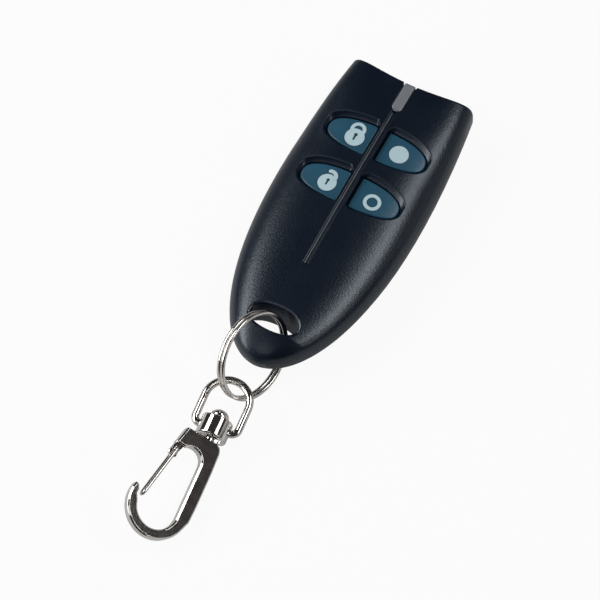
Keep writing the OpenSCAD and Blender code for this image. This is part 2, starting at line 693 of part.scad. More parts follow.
front_shell();
rear_cover();
light_guide();
key(keys[0]);  // key_lock
key(keys[1]);  // key_unlock
key(keys[2]);  // key_disc
key(keys[3]);  // key_circle
plunger(keys[0]);  // plunger_lock
plunger(keys[1]);  // plunger_unlock
plunger(keys[2]);  // plunger_disc
plunger(keys[3]);  // plunger_circle
switch(keys[0]);  // switch_lock
switch(keys[1]);  // switch_unlock
switch(keys[2]);  // switch_disc
switch(keys[3]);  // switch_circle
circuit_board();
controller_chip();
transmitter_chip();
crystal_can();
chip_passives();
indicator_led();
coin_cell();
cell_clip();
cell_contact();
case_screw();
split_ring();
swivel_eye();
snap_hook();
gate_wire();
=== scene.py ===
import json
import math
import bpy
import bmesh
import numpy as np
from mathutils import Matrix, Vector
from mathutils.geometry import delaunay_2d_cdt


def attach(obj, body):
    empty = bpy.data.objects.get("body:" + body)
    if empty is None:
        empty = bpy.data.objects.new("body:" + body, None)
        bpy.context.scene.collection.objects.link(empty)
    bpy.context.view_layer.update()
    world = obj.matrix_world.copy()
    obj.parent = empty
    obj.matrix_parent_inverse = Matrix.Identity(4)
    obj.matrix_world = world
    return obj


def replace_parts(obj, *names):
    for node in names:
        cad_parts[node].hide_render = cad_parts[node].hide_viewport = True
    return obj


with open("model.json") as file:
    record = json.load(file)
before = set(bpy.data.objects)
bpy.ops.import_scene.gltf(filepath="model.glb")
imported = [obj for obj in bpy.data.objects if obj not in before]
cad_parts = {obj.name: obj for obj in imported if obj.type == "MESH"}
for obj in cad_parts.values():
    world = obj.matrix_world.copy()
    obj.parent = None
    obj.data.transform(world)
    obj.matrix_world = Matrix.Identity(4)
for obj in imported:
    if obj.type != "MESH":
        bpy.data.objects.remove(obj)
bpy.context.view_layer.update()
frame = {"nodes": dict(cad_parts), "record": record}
mm = 0.001
print("frame loaded:", len(frame["nodes"]), "nodes")


# a shader socket that can stand in a Python sum; every sum adds its Math nodes
class Socket:
    def __init__(self, tree, link):
        self.tree, self.link = tree, link

    def maths(self, operation, a, b):
        return Finish.add(self.tree, "ShaderNodeMath", {"operation": operation}, {0: a, 1: b})

    def __add__(self, other): return self.maths("ADD", self, other)
    def __radd__(self, other): return self.maths("ADD", other, self)
    def __sub__(self, other): return self.maths("SUBTRACT", self, other)
    def __rsub__(self, other): return self.maths("SUBTRACT", other, self)
    def __mul__(self, other): return self.maths("MULTIPLY", self, other)
    def __rmul__(self, other): return self.maths("MULTIPLY", other, self)


# one material and its nodes
class Finish:
    def __init__(self, name):
        self.material = bpy.data.materials.new(name)
        self.material.use_nodes = True
        self.tree = self.material.node_tree
        self.shader = self.tree.nodes["Principled BSDF"]

    @staticmethod
    def add(tree, kind, settings=None, inputs=None, output=0):
        node = tree.nodes.new(kind)
        for key, value in (settings or {}).items():
            if key == "stops":
                ramp = node.color_ramp
                while len(ramp.elements) < len(value):
                    ramp.elements.new(0.5)
                for element, (place, colour) in zip(ramp.elements, value):
                    element.position = place
                    element.color = colour
            else:
                setattr(node, key, value)
        for key, value in (inputs or {}).items():
            if isinstance(value, Socket):
                tree.links.new(value.link, node.inputs[key])
            else:
                node.inputs[key].default_value = value
        return Socket(tree, node.outputs[output])

    def node(self, kind, settings=None, inputs=None, output=0):
        return Finish.add(self.tree, kind, settings, inputs, output)

    def set(self, **values):
        for key, value in values.items():
            socket = self.shader.inputs[key.replace("_", " ")]
            if isinstance(value, Socket):
                self.tree.links.new(value.link, socket)
            else:
                socket.default_value = value
        return self

    def noise(self, scale, detail=2.0, roughness=0.5):
        place = self.node("ShaderNodeTexCoord", output="Object")
        return self.node("ShaderNodeTexNoise", {}, {"Vector": place, "Scale": scale, "Detail": detail,
                                                    "Roughness": roughness})

    def tint(self, factor, dark, light):
        stops = [(0.25, (*dark, 1)), (0.75, (*light, 1))]
        return self.node("ShaderNodeValToRGB", {"stops": stops}, {"Fac": factor})

    def bump(self, height, strength, distance):
        return self.node("ShaderNodeBump", {}, {"Height": height, "Strength": strength, "Distance": distance})


shellLook = {"dark": (0.0008, 0.0036, 0.0104), "light": (0.0014, 0.0050, 0.0128), "cloud": 180,
             "rough": 0.3, "roughGrain": 0.08, "roughCloud": 0.03,
             "grain": 2900, "grainDetail": 1.0, "grainRoughness": 0.4, "grainLift": 0.00004, "bump": 0.8,
             "sheen": (0.84, 0.93, 1.0, 1), "shine": 0.54}


def shellFinish(look):
    finish = Finish("grained navy shell")
    grain = finish.noise(look["grain"], look["grainDetail"], look["grainRoughness"])
    cloud = finish.noise(look["cloud"])
    rough = look["rough"] + look["roughGrain"] * (grain - 0.5) + look["roughCloud"] * (cloud - 0.5)
    finish.set(Specular_Tint=look["sheen"], Specular_IOR_Level=look["shine"], Roughness=rough,
               Base_Color=finish.tint(cloud, look["dark"], look["light"]),
               Normal=finish.bump(grain, look["bump"], look["grainLift"]))
    return finish.material


keyLook = {"dark": (0.012, 0.062, 0.104), "light": (0.015, 0.069, 0.113), "cloud": 260,
           "rough": 0.34, "roughGrain": 0.06, "grain": 6500, "grainLift": 0.00002, "bump": 0.2, "shine": 0.4}


def keyFinish(look):
    finish = Finish("petrol key rubber")
    grain = finish.noise(look["grain"])
    cloud = finish.noise(look["cloud"])
    finish.set(Specular_IOR_Level=look["shine"], Roughness=look["rough"] + look["roughGrain"] * (grain - 0.5),
               Base_Color=finish.tint(cloud, look["dark"], look["light"]),
               Normal=finish.bump(grain, look["bump"], look["grainLift"]))
    return finish.material


# the plainer finishes: two shades, a roughness, and where it differs the grain
plainLook = {"metal": 0.0, "roughGrain": 0.06, "grain": 900, "grainDetail": 3.0, "grainLift": 0.00001, "bump": 0.15}
polish = {"metal": 1.0, "grain": 400, "grainLift": 0.000002}
plainLooks = {
    "lens_plastic": {"name": "smoky lens", "rough": 0.3,
                     "dark": (0.14, 0.154, 0.168), "light": (0.165, 0.179, 0.193)},
    "bright_metal": {"name": "bright nickel plate", "rough": 0.07, **polish,
                     "dark": (0.62, 0.605, 0.58), "light": (0.68, 0.665, 0.64)},
    "spring_steel": {"name": "nickel plated wire", "rough": 0.18, **polish,
                     "dark": (0.58, 0.56, 0.535), "light": (0.64, 0.62, 0.595)},
    "board": {"name": "green solder mask", "rough": 0.35, "dark": (0.02, 0.13, 0.05), "light": (0.03, 0.17, 0.07)},
    "chip_plastic": {"name": "moulded epoxy", "rough": 0.5,
                     "dark": (0.015, 0.015, 0.016), "light": (0.022, 0.022, 0.024)},
    "plain_steel": {"name": "stamped steel", "rough": 0.3, "metal": 1.0,
                    "dark": (0.5, 0.5, 0.5), "light": (0.58, 0.58, 0.58)},
    "led_plastic": {"name": "white moulding", "rough": 0.35, "dark": (0.7, 0.7, 0.66), "light": (0.78, 0.78, 0.74)},
    "contact_brass": {"name": "brass strip", "rough": 0.28, "metal": 1.0,
                      "dark": (0.6, 0.45, 0.18), "light": (0.66, 0.5, 0.22)},
    "icon": {"name": "pale icon print", "rough": 0.45, "dark": (0.37, 0.505, 0.55), "light": (0.395, 0.53, 0.58)},
    "icon edge": {"name": "dark icon edge", "rough": 0.45,
                  "dark": (0.007, 0.027, 0.042), "light": (0.009, 0.032, 0.048)},
}


def plainFinish(look):
    look = {**plainLook, **look}
    finish = Finish(look["name"])
    grain = finish.noise(look["grain"], look["grainDetail"])
    finish.set(Metallic=look["metal"], Roughness=look["rough"] + look["roughGrain"] * (grain - 0.5),
               Base_Color=finish.tint(grain, look["dark"], look["light"]),
               Normal=finish.bump(grain, look["bump"], look["grainLift"]))
    return finish.material


finishes = {"body_plastic": shellFinish(shellLook), "key_plastic": keyFinish(keyLook)}
finishes.update({slot: plainFinish(look) for slot, look in plainLooks.items()})
print("finishes ready:", len(finishes))


# points come in millimetres
def meshPiece(name, points, faces, body, slot, material=None, normals=None):
    mesh = bpy.data.meshes.new(name)
    points = np.asarray(points, float) * mm
    mesh.from_pydata([tuple(p) for p in points], [], [tuple(int(i) for i in f) for f in faces])
    mesh.validate()
    piece = bpy.data.objects.new(name, mesh)
    bpy.context.scene.collection.objects.link(piece)
    mesh.materials.append(material or finishes[slot])
    mesh.polygons.foreach_set("use_smooth", [True] * len(mesh.polygons))
    if normals is not None:
        mesh.normals_split_custom_set_from_vertices([tuple(n) for n in normals])
    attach(piece, body)
    return piece


def turnOutward(piece, weld=1e-7):
    work = bmesh.new()
    work.from_mesh(piece.data)
    if weld:
        bmesh.ops.remove_doubles(work, verts=work.verts, dist=weld)
    bmesh.ops.recalc_face_normals(work, faces=work.faces)
    work.to_mesh(piece.data)
    work.free()
    return piece


def strips(loops, closed=True):
    count = len(loops[0])
    faces = []
    for k in range(len(loops) - 1):
        for i in range(count if closed else count - 1):
            j = (i + 1) % count
            faces.append((k * count + i, k * count + j, (k + 1) * count + j, (k + 1) * count + i))
    return np.concatenate(loops), faces


def arc(x, y, r, start, end, n=48):
    turn = np.radians(np.linspace(start, end, n))
    return np.stack([x + r * np.cos(turn), y + r * np.sin(turn)], 1)


# an oval that is fuller than an ellipse where full is over 2
def oval(halfX, halfY, full, count):
    turn = np.linspace(0, 2 * np.pi, count, endpoint=False)
    c, s = np.cos(turn), np.sin(turn)
    return np.stack([halfX * np.sign(c) * np.abs(c) ** (2 / full), halfY * np.sign(s) * np.abs(s) ** (2 / full)], 1)


# a section swept along a path that lies near the XY plane, with flat ends
def sweep(path, section):
    along = np.gradient(path, axis=0)
    along /= np.linalg.norm(along, axis=1)[:, None]
    side = np.cross(along, (0.0, 0.0, 1.0))
    side /= np.linalg.norm(side, axis=1)[:, None]
    lift = np.cross(side, along)
    points, faces = strips([p + section[:, :1] * s + section[:, 1:] * u for p, s, u in zip(path, side, lift)])
    n = len(section)
    return points, faces + [tuple(range(n))[::-1], tuple(len(points) - n + i for i in range(n))]


# a profile of radius and height, turned about Y
def lathe(profile, sides=40):
    turn = np.linspace(0, 2 * np.pi, sides, endpoint=False)
    return strips([np.stack([r * np.cos(turn), np.full(sides, y), r * np.sin(turn)], 1) for r, y in profile])


# even steps round a closed loop, its corners eased a few rounds
def evenly(loop, rounds, count=None, spacing=None):
    closed = np.concatenate([loop, loop[:1]])
    run = np.concatenate([[0], np.cumsum(np.linalg.norm(np.diff(closed, axis=0), axis=1))])
    places = np.linspace(0, run[-1], count or int(run[-1] / spacing), endpoint=False)
    loop = np.stack([np.interp(places, run, closed[:, 0]), np.interp(places, run, closed[:, 1])], 1)
    for _ in range(rounds):
        loop = 0.5 * loop + 0.25 * (np.roll(loop, 1, 0) + np.roll(loop, -1, 0))
    return loop


# the way to the left of a closed loop's run, at each of its points
def leftOf(loop):
    along = np.roll(loop, -1, 0) - np.roll(loop, 1, 0)
    left = np.stack([-along[:, 1], along[:, 0]], 1)
    return left / np.linalg.norm(left, axis=1)[:, None]


def inside(points, loop):
    x, y = points[:, 0][:, None], points[:, 1][:, None]
    x0, y0 = loop[:, 0][None], loop[:, 1][None]
    x1, y1 = np.roll(loop[:, 0], -1)[None], np.roll(loop[:, 1], -1)[None]
    rise = np.where(y1 == y0, 1e-12, y1 - y0)
    crosses = ((y0 > y) != (y1 > y)) & (x < (x1 - x0) * (y - y0) / rise + x0)
    return crosses.sum(1) % 2 == 1


def clearOf(points, loop, room):
    parts = np.array_split(points, len(points) // 2000 + 1)         # a few at a time, to spare memory
    return np.concatenate([np.linalg.norm(p[:, None] - loop[None], axis=2).min(1) for p in parts]) > room


# triangles between the first loop and the others, which stay open; also where each given point went
def fillNet(loops, grid):
    edges, start = [], 0
    for loop in loops:
        n = len(loop)
        edges += [(start + i, start + (i + 1) % n) for i in range(n)]
        start += n
    given = [Vector(p) for p in np.concatenate(loops + [grid])]
    net, _, faces, origin, _, _ = delaunay_2d_cdt(given, edges, [], 0, 1e-7)
    net = np.array([tuple(p) for p in net])
    middles = np.array([net[list(f)].mean(0) for f in faces])
    shown = inside(middles, loops[0])
    for loop in loops[1:]:
        shown &= ~inside(middles, loop)
    placeOf = {i: k for k, source in enumerate(origin) for i in source}
    return net, [tuple(f) for f, s in zip(faces, shown) if s], placeOf


# form of the fob: the same curves as its solids
fob = {"length": 71.8, "tip": -39.0, "endHalf": 14.0, "flankPull": 7.4, "flankRun": 51.5, "tipPull": 9.6,
       "endSag": 1.7, "sagFrom": 0.8, "cornerR": 0.7, "edgeR": 0.4, "parting": 5.2, "seam": -25.5,
       "crownTip": 5.3, "crownMid": 8.2, "crownEnd": 6.6, "full": 2.9, "endFull": 4.6, "fullFrom": 10.0,
       "belly": 6.1, "bellyFull": 2, "bellyFrom": -27.0, "bellyTo": -6.0,
       "noseDepth": 0.7, "noseHalf": 9.0, "noseFall": 0.6,
       "step": 0.62, "edgeRows": 6, "holeRoom": 0.3}
fobEnd = fob["length"] + fob["tip"]


def bezier(a, b, c, d, t):
    return a * (1 - t) ** 3 + 3 * b * t * (1 - t) ** 2 + 3 * c * t * t * (1 - t) + d * t ** 3


def flankX(t): return bezier(fob["endHalf"], fob["endHalf"] + fob["flankPull"], fob["tipPull"], 0, t)
def flankY(t): return bezier(fobEnd, fobEnd - fob["flankRun"], fob["tip"], fob["tip"], t)


flankT = np.linspace(0, 1, 6001)
flankRow = flankY(flankT)


def tAt(y): return np.interp(-np.asarray(y, float), -flankRow, flankT)
def halfW(y): return flankX(tAt(y))
def share(y): return (y - fob["tip"]) / fob["length"]
def ease(v): return np.clip(v, 0, 1) ** 2 * (3 - 2 * np.clip(v, 0, 1))
def noseFall(w): return np.clip(w / fob["noseHalf"], 0, 1) ** fob["noseFall"]
def fullness(s, n): return np.clip(1 - np.abs(np.clip(s, -1, 1)) ** n, 0, 1) ** (1 / n)


def crownH(y):
    u = share(y)
    return fob["crownTip"] * (1 - u) ** 2 + 2 * fob["crownMid"] * u * (1 - u) + fob["crownEnd"] * u * u


def crownFull(y):
    rise = ease((y - fob["fullFrom"]) / (fobEnd - fob["fullFrom"]))
    return fob["full"] + (fob["endFull"] - fob["full"]) * rise


def bellyH(y):
    rise = ease((y - fob["bellyFrom"]) / (fob["bellyTo"] - fob["bellyFrom"]))
    return fob["noseDepth"] + (fob["belly"] - fob["noseDepth"]) * rise


# how far the hollowed end draws a point back
def sag(x, y):
    reach = np.clip((share(y) - fob["sagFrom"]) / (1 - fob["sagFrom"]), 0, 1)
    return fob["endSag"] * reach * (1 - (x / fob["endHalf"]) ** 2)


def beforeSag(x, y):
    row = np.array(y, float)
    for _ in range(6):
        row = y + sag(x, row)
    return row


def faceZ(x, y):
    row = beforeSag(x, y)
    w = halfW(row)
    return fob["parting"] + crownH(row) * noseFall(w) * fullness(x / w, crownFull(row))


def underZ(x, y):
    w = halfW(y)
    return fob["parting"] - bellyH(y) * noseFall(w) * fullness(x / w, fob["bellyFull"])


# v runs down the end wall (-1 to 0), over its edge (0 to 1) and along the flank to the tip (1 to 2); q runs across
tCorner = float(tAt(fobEnd - fob["cornerR"]))
tipV = 1.9995           # just short of the tip, where the surface closes


def station(v):
    v = np.asarray(v, float)
    roll = np.radians(90 * (1 - np.clip(v, 0, 1)))
    rowEnd = fobEnd - fob["cornerR"] * (1 - np.sin(roll))
    t = tCorner + (1 - tCorner) * np.clip(v - 1, 0, 1)
    y = np.where(v < 1, rowEnd, flankY(t))
    w = np.where(v < 1, halfW(rowEnd) - fob["cornerR"] * (1 - np.cos(roll)), flankX(t))
    up = np.where(v < 1, crownH(rowEnd) - fob["edgeR"] * (1 - np.cos(roll)), crownH(y) * noseFall(w))
    return y, w, up


def topPoint(v, q):
    y, w, up = station(v)
    s = np.sin(q * np.pi / 2)
    x = w * s
    z = fob["parting"] + up * fullness(s, crownFull(y)) * np.clip(1 + v, 0, 1)
    return np.stack([x, y - sag(x, y), z], -1)


def lowPoint(v, q):
    y, w, _ = station(v)
    x = w * np.sin(q * np.pi / 2)
    return np.stack([x, y - sag(x, y), underZ(x, y)], -1)


def surfaceNormal(surface, v, q, sign):
    d = 1e-4
    a = surface(v, np.clip(q + d, -1, 1)) - surface(v, np.clip(q - d, -1, 1))
    b = surface(np.clip(v - d, -1, tipV), q) - surface(np.clip(v + d, -1, tipV), q)
    n = np.cross(a, b) * sign
    return n / np.maximum(np.linalg.norm(n, axis=-1, keepdims=True), 1e-12)


# the skin is filled in a flat net of lengths along and across, so that its steps come out even
middleSection = {"half": 15, "height": 7, "full": 3.4}
vTable = np.linspace(-1, 2, 6001)
qTable = np.linspace(-1, 1, 6001)


def runOf(points): return np.linalg.norm(np.diff(points, axis=0), axis=1)


def netTables():
    overEnd = runOf(topPoint(vTable, np.zeros_like(vTable)))
    onFlank = runOf(np.stack(station(vTable)[:2], -1))
    along = np.concatenate([[0], np.cumsum(np.where(vTable[1:] <= 1, overEnd, onFlank))])
    s = np.sin(qTable * np.pi / 2)
    height = middleSection["height"] * fullness(s, middleSection["full"])
    across = np.concatenate([[0], np.cumsum(runOf(np.stack([middleSection["half"] * s, height], -1)))])
    return along, across - across[-1] / 2


runTable, acrossTable = netTables()


def toNet(v, q): return np.stack([np.interp(v, vTable, runTable), np.interp(q, qTable, acrossTable)], -1)
def fromNet(net): return np.interp(net[:, 0], runTable, vTable), np.interp(net[:, 1], acrossTable, qTable)
def rowToV(y): return 1 + (tAt(y) - tCorner) / (1 - tCorner)
def acrossToQ(x, w): return 2 / np.pi * np.arcsin(x / w)


def planToV(x, y):
    v = rowToV(beforeSag(x, y))
    return v, 2 / np.pi * np.arcsin(np.clip(x / station(v)[1], -1, 1))


def planToNet(loop): return toNet(*planToV(loop[:, 0], loop[:, 1]))


# the rim of the net between two v values, and the points inside it
def netGrid(vFrom, vTo):
    start, end = np.interp([vFrom, vTo], vTable, runTable)
    wide, step = acrossTable[-1], fob["step"]
    edge = np.interp(np.clip(np.linspace(0, 1, fob["edgeRows"]), vFrom, vTo), vTable, runTable)
    parts = [(a, b) for a, b in ((start, edge[0]), (edge[-1], end)) if b > a]
    rows = [np.linspace(a, b, int((b - a) / step) + 2) for a, b in parts]
    along = np.unique(np.round(np.concatenate(rows + [edge]), 7))
    across = np.linspace(-wide, wide, int(2 * wide / step) + 2)

    def side(a, b): return np.stack(np.broadcast_arrays(a, b), 1)[:-1]
    rim = [side(along, -wide), side(end, across), side(along[::-1], wide), side(start, across[::-1])]
    grid = np.stack(np.meshgrid(along[1:-1], across[1:-1], indexing="ij"), -1).reshape(-1, 2)
    return np.concatenate(rim), grid


# a surface filled round its holes; each hole goes on inward as loops of points
def skin(surface, sign, vFrom, vTo, holes):
    rim, grid = netGrid(vFrom, vTo)
    keep = np.ones(len(grid), bool)
    for hole in holes:
        keep &= ~inside(grid, hole["net"]) & clearOf(grid, hole["net"], fob["holeRoom"] * fob["step"])
    net, triangles, placeOf = fillNet([rim] + [hole["net"] for hole in holes], grid[keep])
    v, q = fromNet(net)
    points, faces = [surface(v, q)], [f if sign > 0 else f[::-1] for f in triangles]
    total, start = len(net), len(rim)
    for hole in holes:
        n = len(hole["net"])
        before = [placeOf[start + i] for i in range(n)]
        start += n
        for loop in hole["loops"]:
            now = list(range(total, total + n))
            faces += [(before[i], before[(i + 1) % n], now[(i + 1) % n], now[i]) for i in range(n)]
            points.append(loop)
            before, total = now, total + n
        if hole.get("floor"):
            faces += [(before[i], before[i + 1], before[n - 2 - i], before[n - 1 - i]) for i in range(n // 2 - 1)]
    return np.concatenate(points), faces, surfaceNormal(surface, v, q, sign)


# skins joined into one piece; their filled parts take their normals from the surface itself
def shellPiece(name, skins, body, slot):
    points, faces, filled, normals, base = [], [], [], [], 0
    for p, f, n in skins:
        points.append(p)
        faces += [tuple(base + i for i in face) for face in f]
        filled.append(base + np.arange(len(n)))
        normals.append(n)
        base += len(p)
    piece = turnOutward(meshPiece(name, np.concatenate(points), faces, body, slot), weld=0)
    filled, normals = np.concatenate(filled), np.concatenate(normals)
    found = np.array([tuple(n.vector) for n in piece.data.vertex_normals])
    if (found[filled] * normals).sum(1).mean() < 0:
        piece.data.flip_normals()
        found = -found
    found[filled] = normals
    piece.data.normals_split_custom_set_from_vertices([tuple(n) for n in found])
    return piece


keyShape = {"reach": 11.2, "half": 3.75, "rib": 1.3, "rows": (3.1, 15.3), "middle": 5.4, "full": 2.5,
            "drop": 1.0, "foot": 8.45, "gap": 0.2, "points": 168, "cornerRounds": 5,
            "lip": 1.0, "lipOuter": 1.3, "lipLow": 0.5, "lipTurn": 0.8,
            "ribLip": 0.2, "ribClear": 0.1, "ribRun": 0.7}
keyBodies = {"key_lock": (-1, 1), "key_unlock": (-1, 0), "key_disc": (1, 1), "key_circle": (1, 0)}      # side, row


def keyOutline():
    a, b, n = keyShape["reach"], keyShape["half"], keyShape["full"]
    start = math.acos((keyShape["rib"] / a) ** (n / 2))
    turn = np.linspace(start, -start, 400)
    c, s = np.cos(turn), np.sin(turn)
    leaf = np.stack([a * c ** (2 / n), np.sign(s) * b * np.abs(s) ** (2 / n)], 1)
    ribSide = np.linspace(leaf[-1], leaf[0], 200)[1:-1]
    return evenly(np.concatenate([leaf, ribSide]), keyShape["cornerRounds"], count=keyShape["points"])


# the lip is wide round the far end of a key and narrow on its near side and along the rib
def lipShare(loop, out):
    k = keyShape
    high = k["lipLow"] + (1 - k["lipLow"]) * ease(out[:, 1] / k["lipTurn"])
    return k["ribLip"] + (1 - k["ribLip"]) * ease((loop[:, 0] - k["rib"] - k["ribClear"]) / k["ribRun"]) * high


keyLoop = keyOutline()
keyOut = leftOf(keyLoop)
keyLip = lipShare(keyLoop, keyOut)


def keyRing(side, row, grow, lip=0.0):
    loop = keyLoop + keyOut * (grow + lip * keyLip)[:, None]
    return np.stack([side * loop[:, 0], keyShape["rows"][row] + loop[:, 1]], 1)


def lower(loop, depth): return np.stack([loop[:, 0], loop[:, 1], faceZ(loop[:, 0], loop[:, 1]) - depth], 1)


# distance outward from the gap, as a share of the lip, and depth below the face, as a share of the drop
lipProfile = [(1.2, 0.003), (1.1, 0.02), (1.0, 0.07), (0.93, 0.14), (0.86, 0.24), (0.6, 0.56), (0.3, 0.86),
              (0.12, 1.0), (0.03, 1.1), (0.0, 1.2), (0.0, 2.6)]


def keyHole(side, row):
    lip, drop, gap = keyShape["lip"], keyShape["drop"], keyShape["gap"]
    outer = keyRing(side, row, gap, keyShape["lipOuter"] * lip)
    loops = [lower(keyRing(side, row, gap, away * lip), depth * drop) for away, depth in lipProfile]
    return {"net": planToNet(outer), "loops": loops}


# distance outward from the groove's wall and depth below the face
groove = {"half": 0.5, "foot": -16.7, "head": 23.8, "stations": 80, "edge": 0.22,
          "profile": [(0.165, 0.012), (0.0176, 0.085), (0.0, 0.12), (-0.05, 0.34), (-0.1, 0.4)]}


# points of the face, sunk by a depth along its normal
def sunk(v, q, depth): return topPoint(v, q) - depth * surfaceNormal(topPoint, v, q, 1)
def onSkin(loop, depth): return sunk(*planToV(loop[:, 0], loop[:, 1]), depth)


def grooveLoop(grow):
    y = np.linspace(groove["foot"], groove["head"], groove["stations"])
    y[0] -= grow
    y[-1] += grow
    x = np.full_like(y, groove["half"] + grow)
    return np.concatenate([np.stack([x, y], 1), np.stack([-x, y], 1)[::-1]])


def grooveHole():
    loops = [onSkin(grooveLoop(away), depth) for away, depth in groove["profile"]]
    return {"net": planToNet(grooveLoop(groove["edge"])), "loops": loops, "floor": True}


# the lens runs along the crown and over the end's edge; footV and wallV are v per millimetre at its two ends,
# and its mouth goes by distance outward and depth, as the groove does
lens = {"half": 1.22, "foot": 24.35, "edge": 0.14, "gap": 0.06, "wallDrop": 0.22,
        "faceRows": 34, "edgeRows": 9, "wallRows": 7, "columns": 13, "footV": 0.016, "wallV": 0.12,
        "mouth": [(0.042, 0.03), (0.0, 0.14), (0.0, 0.7)], "flare": 0.32, "flareRun": 0.9, "flareLead": 0.6,
        "faceDrop": 0.02, "rimDrop": 0.14, "rimFull": 8, "skirt": 0.6}
lensV = np.concatenate([rowToV(np.linspace(lens["foot"], fobEnd - fob["cornerR"], lens["faceRows"])),
                        np.linspace(1, 0, lens["edgeRows"])[1:],
                        np.linspace(0, -lens["wallDrop"], lens["wallRows"])[1:]])
lensRun = np.abs(np.interp(lensV, vTable, runTable) - np.interp(lensV[0], vTable, runTable))
lensW = station(lensV)[1]


def lensHalf(grow):
    r = lens["half"] + grow
    s = np.maximum(lensRun + grow, 0)
    return np.where(s < r, np.sqrt(np.maximum(r * r - (r - s) ** 2, 1e-4)), r)


def lensLoop(grow):
    past = (lensRun - lensRun[lens["faceRows"] - 1]) / lens["flareRun"]
    half = lensHalf(grow) + lens["flare"] * ease(past + lens["flareLead"])      # the mouth opens at the end
    q = acrossToQ(half, lensW)
    v = lensV.copy()
    v[0] += grow * lens["footV"]
    v[-1] -= grow * lens["wallV"]
    return np.concatenate([v, v[::-1]]), np.concatenate([q, -q[::-1]])


def lensHole():
    loops = [sunk(*lensLoop(away), depth) for away, depth in lens["mouth"]]
    return {"net": toNet(*lensLoop(lens["edge"])), "loops": loops}


def lensPiece():
    half = lensHalf(-lens["gap"])
    columns = np.sin(np.linspace(-np.pi / 2, np.pi / 2, lens["columns"]))
    face = [(s, lens["faceDrop"] + lens["rimDrop"] * abs(s) ** lens["rimFull"]) for s in columns]
    lines = [(-1, lens["skirt"]), *face, (1, lens["skirt"])]
    points, faces = strips([sunk(lensV, acrossToQ(s * half, lensW), depth) for s, depth in lines], closed=False)
    return turnOutward(meshPiece("indicator_lens", points, faces, "fob", "lens_plastic"))


# the far rim has a narrow chamfer, given as distance from the wall and depth in shares of the rim;
# the near rim is rolled over, by the angle that comes first
ringSlot = {"centre": -30.2, "halfX": 5.25, "halfY": 2.6, "full": 2.3, "points": 160, "farRim": 0.55, "nearRim": 0.9,
            "nearDepth": 0.85, "dishFrom": 0.35, "dishRun": 1.35, "draft": 1.1, "draftTurn": 0.9,
            "underRim": 0.5, "underRolls": (30, 60),
            "rim": [(10, 0.93, 0.012), (20, 0.84, 0.05), (30, 0.76, 0.09), (42, 0.36, 0.30), (55, 0.2, 0.42),
                    (70, 0.07, 0.62), (90, 0.0, 0.9)]}
slotBase = oval(ringSlot["halfX"], ringSlot["halfY"], ringSlot["full"], ringSlot["points"])
slotOut = -leftOf(slotBase)


def slotLoop(grow): return slotBase + slotOut * np.reshape(grow, (-1, 1)) + np.array([0, ringSlot["centre"]])


# the opening in the face goes down through the nose to the opening in the underside
def slotHoles():
    near = ease((ringSlot["dishFrom"] - slotOut[:, 1]) / ringSlot["dishRun"])       # 1 on the dished tip side
    rim = ringSlot["farRim"] + (ringSlot["nearRim"] - ringSlot["farRim"]) * near
    loops = []
    for angle, flat, drop in ringSlot["rim"]:
        roll = np.radians(angle)
        away = near * (1 - np.sin(roll)) + (1 - near) * flat
        depth = near * ringSlot["nearDepth"] * (1 - np.cos(roll)) + (1 - near) * drop
        loops.append(lower(slotLoop(rim * away), rim * depth))
    wall, top, under = slotLoop(0), loops[-1][:, 2], ringSlot["underRim"]
    bottom = underZ(wall[:, 0], wall[:, 1]) + under
    lean = ringSlot["draft"] * ease(slotOut[:, 1] / ringSlot["draftTurn"])      # the far wall leans in below
    loops += [np.stack([wall[:, 0], wall[:, 1] - lean * f, top + (bottom - top) * f], 1) for f in (0.5, 1.0)]
    for roll in np.radians(ringSlot["underRolls"]):
        loop = slotLoop(under * (1 - np.cos(roll)))
        z = underZ(loop[:, 0], loop[:, 1]) + under * (1 - np.sin(roll))
        loops.append(np.stack([loop[:, 0], loop[:, 1] - lean, z], 1))
    last = slotLoop(under)
    last[:, 1] -= lean
    loops.append(np.column_stack([last, underZ(last[:, 0], last[:, 1])]))
    return {"net": planToNet(slotLoop(rim)), "loops": loops}, {"net": planToNet(last), "loops": []}


def frontShell():
    topSlot, lowSlot = slotHoles()
    holes = [keyHole(side, row) for side, row in keyBodies.values()] + [grooveHole(), lensHole(), topSlot]
    upper = skin(topPoint, 1, -1, tipV, holes)
    under = skin(lowPoint, -1, float(rowToV(fob["seam"])), tipV, [lowSlot])
    piece = shellPiece("front_shell_moulding", [upper, under], "fob", "body_plastic")
    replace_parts(piece, "front_shell")
    return piece


print("front shell:", len(frontShell().data.vertices), "points")
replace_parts(lensPiece(), "light_guide")

# key caps: a rounded rim of distance outward and depth, then loops that close on the middle
capProfile = [(0.0, 0.5), (0.0, 0.3), (-0.04, 0.16), (-0.11, 0.06), (-0.22, 0.012), (-0.36, 0.0)]
capShares = (0.88, 0.75, 0.6, 0.45, 0.3, 0.15, 0.02)


def keyCap(name, side, row):
    foot = keyRing(side, row, 0)
    loops = [np.column_stack([foot, np.full(len(foot), keyShape["foot"])])]
    loops += [lower(keyRing(side, row, away), keyShape["drop"] + depth) for away, depth in capProfile]
    rim = keyRing(side, row, capProfile[-1][0])
    middle = np.array([side * keyShape["middle"], keyShape["rows"][row]])
    loops += [lower(middle + (rim - middle) * f, keyShape["drop"]) for f in capShares]
    points, faces = strips(loops)
    faces.append(tuple(range(len(points) - len(foot), len(points))))
    piece = turnOutward(meshPiece(name + "_cap", points, faces, name, "key_plastic"))
    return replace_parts(piece, name)


for name, (side, row) in keyBodies.items():
    keyCap(name, side, row)
print("keys:", len(keyBodies), "caps")


